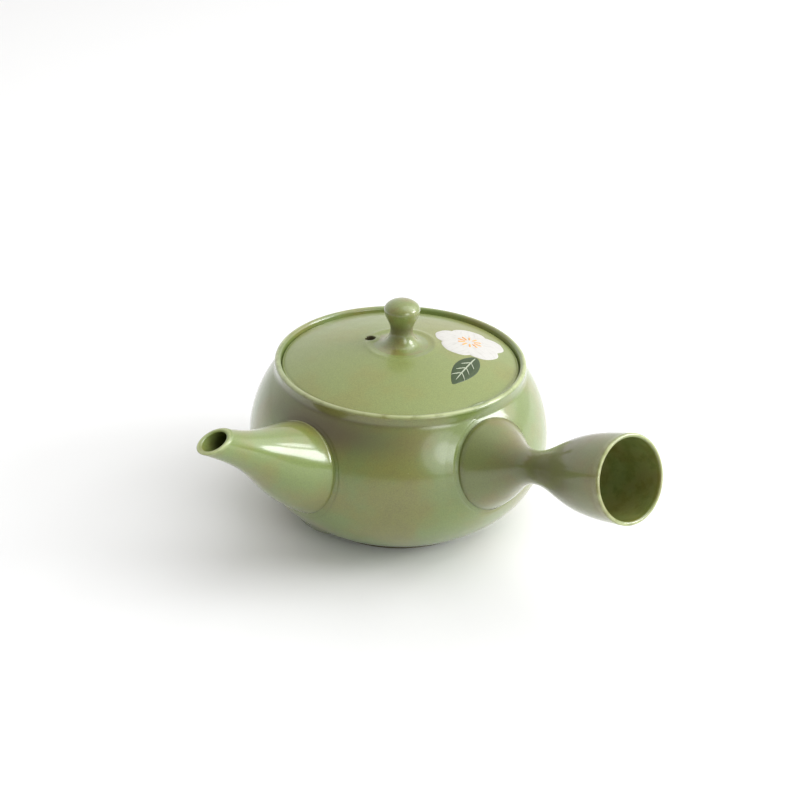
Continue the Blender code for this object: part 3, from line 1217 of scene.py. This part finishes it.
@dataclass
class Knob:
    """Round knob on a waisted neck that flares into the lid."""

    lid: Lid
    head_radius: float = 0.00695
    head_height: float = 0.0850
    neck_radius: float = 0.0044
    neck_height: float = 0.0772
    cheek_drop: float = 0.0078
    flare_radius: float = 0.0110
    neck: tuple[Point, ...] = ((0.00436, 0.0762), (0.00450, 0.0752), (0.00490, 0.0740), (0.00555, 0.0728))
    flare: tuple[Point, ...] = ((0.00665, 0.00100), (0.0080, 0.00034), (0.0092, 0.00011), (0.0101, 0.00003))
    overlap: float = 0.00003
    bury: float = 0.0006
    # Painted shade: a dark band round the neck, under the head.
    shade_band: Span = (0.0778, 0.0028)
    painted_shade: float = 0.7
    steps: int = 128
    height: float = field(init=False)

    def __post_init__(self) -> None:
        """Takes the knob's height from the frame."""
        self.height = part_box("lid_knob")[1][2]

    def stations(self) -> list[Station]:
        """The knob's profile.

        Returns:
            The stations, from its top down to the lid and in to the axis.
        """
        rise = self.height - self.head_height
        head = arc((0, self.head_height), (self.head_radius, rise), 90, 0, 22)
        cheek = []
        for share in spread(0, 1, 14)[1:]:
            radius = self.head_radius + (self.neck_radius - self.head_radius) * smooth(share)
            cheek.append((radius, self.head_height - self.cheek_drop * share))
        gaps = [*self.flare, (self.flare_radius, -self.overlap)]
        foot = [(radius, self.lid.top(radius) + gap) for radius, gap in gaps]
        flare = flow([cheek[-1], *self.neck, *foot], 8)[1:]
        buried = self.lid.top(self.flare_radius) - self.bury
        outside = head + cheek + flare
        # Painted shade under the head.
        shaft = [Station(*point, stain_and_shade=self.painted_shade * bump(point[1], *self.shade_band)) for point in outside]
        return shaft + chain([(self.flare_radius, buried), (0.0, buried)])

    def build(self, finish: bpy.types.Material) -> None:
        """Turns the knob."""
        turning = Turning(self.stations(), self.steps)
        enrol(turning.piece("round_knob", finish), Body.LID, Slot.LID, "lid_knob")


# ---------------------------------------------------------------- strainer


@dataclass
class Strainer:
    """Pierced clay dome behind the spout, kept as it stands in the frame."""

    node: str = "strainer"

    def build(self, finish: bpy.types.Material) -> None:
        """Dresses the frame's own mesh.

        Args:
            finish: Its material.
        """
        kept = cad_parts[self.node]
        kept.data.materials.clear()
        kept.data.materials.append(finish)
        log.info("%s: kept, with %s", self.node, finish.name)


# ---------------------------------------------------------------- painted blossom


@dataclass
class Daub:
    """One touch of paint on the lid: a fine sheet laid over the dome, thinned to nothing at its edge."""

    name: str
    finish: bpy.types.Material
    lift: float = 0.00004
    thickness: float = 0.00012
    columns: int = 36
    rows: int = 20
    sink: float = 0.00003
    depth: float = 0.0003
    fullness: int = 8

    def at(self, u: float, v: float) -> Vector:
        """Place in the painter's plane, in metres, of a point of the unit square from -1 to 1."""
        raise NotImplementedError

    def lay(self, lid: Lid, turn: float) -> None:
        """Shapes the sheet, lays it on the lid and closes it underneath.

        Args:
            lid: The lid that it is painted on.
            turn: Angle in degrees between the painter's plane and the frame.
        """
        mesh = bmesh.new()
        bmesh.ops.create_grid(mesh, x_segments=self.columns, y_segments=self.rows, size=1)
        layer = mesh.loops.layers.uv.new(STROKE_MAP)
        for face in mesh.faces:
            for loop in face.loops:
                loop[layer].uv = (loop.vert.co.x / 2 + 0.5, loop.vert.co.y / 2 + 0.5)
        twist = Matrix.Rotation(math.radians(turn), 3, "Z")
        for vertex in mesh.verts:
            u, v = vertex.co.x, vertex.co.y
            spot = twist @ self.at(u, v)
            body = 1 - max(abs(u), abs(v)) ** self.fullness
            spot.z = lid.top(spot.xy.length) + (self.lift + self.thickness) * body - self.sink
            vertex.co = spot
        under = bmesh.ops.extrude_face_region(mesh, geom=mesh.faces[:])
        below = [item for item in under["geom"] if isinstance(item, bmesh.types.BMVert)]
        bmesh.ops.translate(mesh, verts=below, vec=(0, 0, -self.depth))
        bmesh.ops.recalc_face_normals(mesh, faces=mesh.faces[:])
        enrol(as_object(mesh, self.name, self.finish), Body.LID, Slot.LID)


@dataclass
class Petal(Daub):
    """Petal: an egg-shaped sheet that narrows to its base, with a faintly wavy tip."""

    base: Point = (0.0, 0.0)
    heading: float = 0.0
    length: float = 0.0152
    width: float = 0.0148
    narrowing: float = 0.45
    ragged: float = 0.012
    waves: int = 7
    phase: float = 0.0

    def at(self, u: float, v: float) -> Vector:
        """Rounds the unit square to a petal.

        Args:
            u: From the base, -1, to the tip, 1.
            v: From one side to the other.

        Returns:
            Place in the painter's plane.
        """
        x = u * math.sqrt(1 - v * v / 2)
        y = v * math.sqrt(1 - u * u / 2)
        turn, reach = math.atan2(y, x), math.hypot(x, y)
        wave = 1 + self.ragged * reach**2 * smooth(x + 0.4) * math.sin(self.waves * turn + self.phase)
        taper = 1 - self.narrowing * smooth(-x)
        along = (x * wave + 1) * self.length / 2
        side = y * wave * taper * self.width / 2
        angle = math.radians(self.heading)
        ahead = Vector((math.cos(angle), math.sin(angle), 0))
        left = Vector((-math.sin(angle), math.cos(angle), 0))
        return Vector((*self.base, 0)) + ahead * along + left * side


@dataclass
class Stroke(Daub):
    """Brush stroke along a curve of three points, thick in the middle and fine at its ends."""

    start: Point = (0.0, 0.0)
    bend: Point = (0.0, 0.0)
    end: Point = (0.0, 0.0)
    width: float = 0.001
    start_width: float = 0.5
    end_width: float = 0.2
    lift: float = 0.00026
    thickness: float = 0.00008
    columns: int = 28
    rows: int = 6

    def at(self, u: float, v: float) -> Vector:
        """Bends the unit square along the stroke.

        Args:
            u: From the start, -1, to the end, 1.
            v: From one side to the other.

        Returns:
            Place in the painter's plane.
        """
        t = (u + 1) / 2
        first, middle, last = (Vector((*p, 0)) for p in (self.start, self.bend, self.end))
        centre = first * (1 - t) ** 2 + middle * 2 * t * (1 - t) + last * t * t
        along = (middle - first) * (1 - t) + (last - middle) * t
        side = Vector((-along.y, along.x, 0)).normalized()
        share = self.start_width * (1 - t) ** 2 + 2 * t * (1 - t) + self.end_width * t * t
        rounded = math.sqrt(max(0.0, 1 - abs(u) ** 12))
        return centre + side * v * self.width / 2 * share * max(0.08, rounded)


@dataclass
class Leaf(Daub):
    """Plain leaf with the same curve on both sides, pointed at its tip."""

    base: Point = (0.0, 0.0)
    tip: Point = (0.0, 0.0)
    width: float = 0.0092
    lift: float = 0.00008
    belly: float = 0.85
    roundness: float = 0.8
    stalk: float = 0.03

    def spot(self, share: float, side: float) -> Point:
        """Place beside the leaf's rib.

        Args:
            share: Share of the leaf's length, from base to tip.
            side: Share of its half width, to the left.

        Returns:
            Place in the painter's plane.
        """
        start, end = Vector(self.base), Vector(self.tip)
        ahead = (end - start).normalized()
        left = Vector((-ahead.y, ahead.x))
        place = start.lerp(end, share) + left * side * self.width / 2
        return (place.x, place.y)

    def at(self, u: float, v: float) -> Vector:
        """Narrows the unit square to a leaf.

        Args:
            u: From the base, -1, to the tip, 1.
            v: From one side to the other.

        Returns:
            Place in the painter's plane.
        """
        share = (u + 1) / 2
        blade = math.sin(math.pi * share**self.belly) ** self.roundness if 0 < share < 1 else 0.0
        return Vector((*self.spot(share, v * max(self.stalk, blade)), 0))


@dataclass
class Blossom:
    """Painted decoration of the lid: a plain five-petalled blossom and one dark leaf."""

    lid: Lid
    palette: Palette
    turn: float = -40.0
    heart: Point = (0.0268, 0.0078)
    petal_count: int = 5
    petal_lifts: Span = (0.00003, 0.000014)
    petal_start: float = -0.0012
    wave_step: float = 1.3
    stamen_count: int = 10
    stamen_reach: Span = (0.0016, 0.0050)
    stamen_width: float = 0.0010
    leaf_base: Point = (0.0292, -0.0048)
    leaf_tip: Point = (0.0196, -0.0262)
    rib_shares: tuple[float, float, float] = (0.03, 0.45, 0.90)
    rib_width: float = 0.0009
    vein_shares: tuple[float, float, float] = (0.24, 0.44, 0.62)
    vein_reach: Point = (0.16, 0.62)
    vein_width: float = 0.0007

    def ray(self, heading: float, reach: float) -> Point:
        """Place at a heading in degrees and a distance from the heart."""
        angle = math.radians(heading)
        return (self.heart[0] + reach * math.cos(angle), self.heart[1] + reach * math.sin(angle))

    def flower(self) -> list[Daub]:
        """Petals at even turns round the heart, and stamens at even turns over them.

        Returns:
            The touches of paint, in the order that they are laid.
        """
        white, orange = self.palette.petal.build(), self.palette.stamen.build()
        first, step = self.petal_lifts
        daubs: list[Daub] = []
        for number in range(self.petal_count):
            heading = 90 + 360 * number / self.petal_count
            base = self.ray(heading, self.petal_start)
            petal = Petal(f"petal_{number + 1}", white, base=base, heading=heading)
            petal.lift, petal.phase = first + step * number, self.wave_step * number
            daubs.append(petal)
        for number in range(self.stamen_count):
            heading = 360 * (number + 0.5) / self.stamen_count
            near, far = (self.ray(heading, reach) for reach in self.stamen_reach)
            middle = ((near[0] + far[0]) / 2, (near[1] + far[1]) / 2)
            stamen = Stroke(f"stamen_{number + 1}", orange, start=near, bend=middle, end=far)
            stamen.width, stamen.end_width = self.stamen_width, 0.9
            daubs.append(stamen)
        return daubs

    def foliage(self) -> list[Daub]:
        """The leaf, its rib and pairs of side veins.

        Returns:
            The touches of paint, in the order that they are laid.
        """
        pale = self.palette.vein.build()
        leaf = Leaf("leaf", self.palette.leaf.build(), base=self.leaf_base, tip=self.leaf_tip)
        daubs: list[Daub] = [leaf]
        rib = [leaf.spot(share, 0.0) for share in self.rib_shares]
        daubs.append(Stroke("leaf_rib", pale, start=rib[0], bend=rib[1], end=rib[2], width=self.rib_width))
        ahead, aside = self.vein_reach
        for number, share in enumerate(self.vein_shares):
            for side, hand in ((-1, "right"), (1, "left")):
                start, bend, end = (leaf.spot(share + ahead * t, side * aside * t) for t in (0.0, 0.5, 1.0))
                name = f"leaf_vein_{number + 1}_{hand}"
                daubs.append(Stroke(name, pale, start=start, bend=bend, end=end, width=self.vein_width))
        return daubs

    def build(self) -> None:
        """Paints the blossom on the lid."""
        for daub in [*self.foliage(), *self.flower()]:
            daub.lay(self.lid, self.turn)


# ---------------------------------------------------------------- studio


@dataclass(frozen=True)
class Window:
    """Oval soft light: its azimuth from the camera, elevation, two sizes, power and distance."""

    name: str
    azimuth: float
    elevation: float
    size: Point
    power: float
    far: float = 1.6


@dataclass
class Studio:
    """Pale floor, soft light and the camera."""

    azimuth: float = -40.0
    elevation: float = 27.87
    distance: float = 0.6305
    roll: float = 1.71
    aim: Vector = field(default_factory=lambda: Vector((0.00015, -0.00013, 0.04585)))
    lens: float = 72.0
    sensor: float = 36.0
    clip: Span = (0.01, 20.0)
    table_radius: float = 6.0
    table_grey: float = 0.86
    daylight: Colour = (0.97, 0.985, 1.0)
    room_colour: Colour = (1.0, 0.99, 0.975)
    room_rise: float = 15.0
    room_range: Span = (-0.8, 0.8)
    room_strength: Span = (0.27, 1.02)
    windows: tuple[Window, ...] = (
        Window("low_window", 86, 23, (0.80, 0.62), 13.0),
        Window("high_window", 104, 38, (0.32, 0.30), 2.0),
        Window("side_wall", 102, 36, (2.2, 1.9), 10.0, 1.9),
        Window("front_wall", 36, 20, (1.0, 1.2), 6.0, 1.7),
        Window("front_window", 37, 20, (0.45, 0.55), 2.2),
        Window("ceiling", 92, 64, (1.5, 1.5), 8.5),
    )

    def camera(self) -> None:
        """Looks down at the teapot from between the spout and the handle."""
        data = bpy.data.cameras.new("camera")
        data.lens = self.lens
        data.sensor_width = self.sensor
        data.clip_start, data.clip_end = self.clip
        made = bpy.data.objects.new("camera", data)
        bpy.context.scene.collection.objects.link(made)
        back = outward(self.azimuth, self.elevation)
        level = UP.cross(back).normalized()
        upright = back.cross(level)
        turn = math.radians(self.roll)
        right = level * math.cos(turn) + upright * math.sin(turn)
        over = upright * math.cos(turn) - level * math.sin(turn)
        turned = Matrix((right, over, back)).transposed().to_4x4()
        made.matrix_world = Matrix.Translation(self.aim + back * self.distance) @ turned
        bpy.context.scene.camera = made

    def floor(self) -> None:
        """Wide pale table."""
        mesh = bmesh.new()
        bmesh.ops.create_circle(mesh, cap_ends=True, segments=96, radius=self.table_radius)
        book = NodeBook("pale_table")
        book.surface(Base_Color=(self.table_grey,) * 3, Roughness=0.6)
        made = as_object(mesh, "table", book.material)

    def open(self, window: Window) -> None:
        """Makes an area light that faces the teapot.

        Args:
            window: The light's place, size and power.
        """
        data = bpy.data.lights.new(window.name, "AREA")
        data.shape = "ELLIPSE"
        data.size, data.size_y = window.size
        data.energy = window.power
        data.color = self.daylight
        made = bpy.data.objects.new(window.name, data)
        bpy.context.scene.collection.objects.link(made)
        towards = outward(self.azimuth + window.azimuth, window.elevation)
        place = self.aim + towards * window.far
        made.matrix_world = Matrix.Translation(place) @ towards.to_track_quat("Z", "Y").to_matrix().to_4x4()

    def sky(self) -> None:
        """Room light: bright behind the teapot and above, dim on the camera's side."""
        world = bpy.data.worlds.new("room")
        bpy.context.scene.world = world
        world.use_nodes = True
        tree = world.node_tree
        coordinate = tree.nodes.new("ShaderNodeTexCoord")
        dot = tree.nodes.new("ShaderNodeVectorMath")
        dot.operation = "DOT_PRODUCT"
        dot.inputs[1].default_value = outward(self.azimuth + 180, self.room_rise)
        tree.links.new(coordinate.outputs["Generated"], dot.inputs[0])
        ramp = tree.nodes.new("ShaderNodeMapRange")
        ramp.interpolation_type = "SMOOTHSTEP"
        limits = ("From Min", "From Max", "To Min", "To Max")
        for name, value in zip(limits, self.room_range + self.room_strength):
            ramp.inputs[name].default_value = value
        tree.links.new(dot.outputs["Value"], ramp.inputs["Value"])
        background = tree.nodes["Background"]
        background.inputs["Color"].default_value = (*self.room_colour, 1.0)
        tree.links.new(ramp.outputs["Result"], background.inputs["Strength"])

    def build(self) -> None:
        """Sets up the whole studio."""
        self.camera()
        self.floor()
        self.sky()
        for window in self.windows:
            self.open(window)
        bpy.context.scene.view_settings.view_transform = "Standard"


# ---------------------------------------------------------------- assembly


def main() -> None:
    """Builds the teapot and its studio."""
    logging.basicConfig(level=logging.INFO, format="%(message)s")
    palette = Palette()
    Studio().build()
    bowl = Bowl()
    spout = make_spout(bowl)
    handle = make_handle(bowl)
    lid = Lid()
    knob = Knob(lid)
    body_clay = palette.body.build()
    lid_clay = palette.lid.build()
    bowl.build(body_clay, spout)
    spout.build(body_clay, body_clay, "spout")
    handle.build(palette.handle.build(), body_clay, "handle")
    lid.build(lid_clay)
    knob.build(palette.knob.build())
    Blossom(lid, palette).build()
    Strainer().build(palette.strainer.build())


if __name__ == "__main__":
    main()
